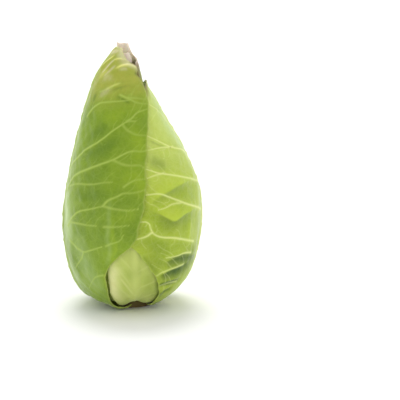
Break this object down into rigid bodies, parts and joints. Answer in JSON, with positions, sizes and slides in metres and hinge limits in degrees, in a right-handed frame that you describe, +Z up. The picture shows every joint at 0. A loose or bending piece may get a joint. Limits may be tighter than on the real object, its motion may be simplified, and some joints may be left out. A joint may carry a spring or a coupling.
{
  "type": "pointed cabbage",
  "caption": "Pointed cabbage standing on its cut stem: a tall conical head of tight inner leaves wrapped in large ribbed outer leaves, with a narrow twisted tip.",
  "frame": {"origin": "centre of the flat cut face at the foot of the stem", "axes": "+Z up along the head towards its tip, -Y out of the front where the two outer leaves part over the pale leaf base, +X to the right seen from the front"},
  "size_m": [0.1106, 0.1154, 0.2076],
  "materials": {
    "heart_leaf": "soft waxy",
    "pale_leaf": "soft waxy",
    "leaf_base": "soft waxy",
    "light_leaf": "soft waxy",
    "dark_leaf": "waxy with a pale bloom",
    "cut_stem": "matt, dried"
  },
  "bodies": {
    "root": {"heart": "heart_leaf", "leaf_inner_left": "pale_leaf", "leaf_inner_right": "pale_leaf", "leaf_back": "dark_leaf", "leaf_front": "leaf_base", "leaf_right": "light_leaf", "leaf_left": "dark_leaf", "stem": "cut_stem"}
  },
  "joints": []
}
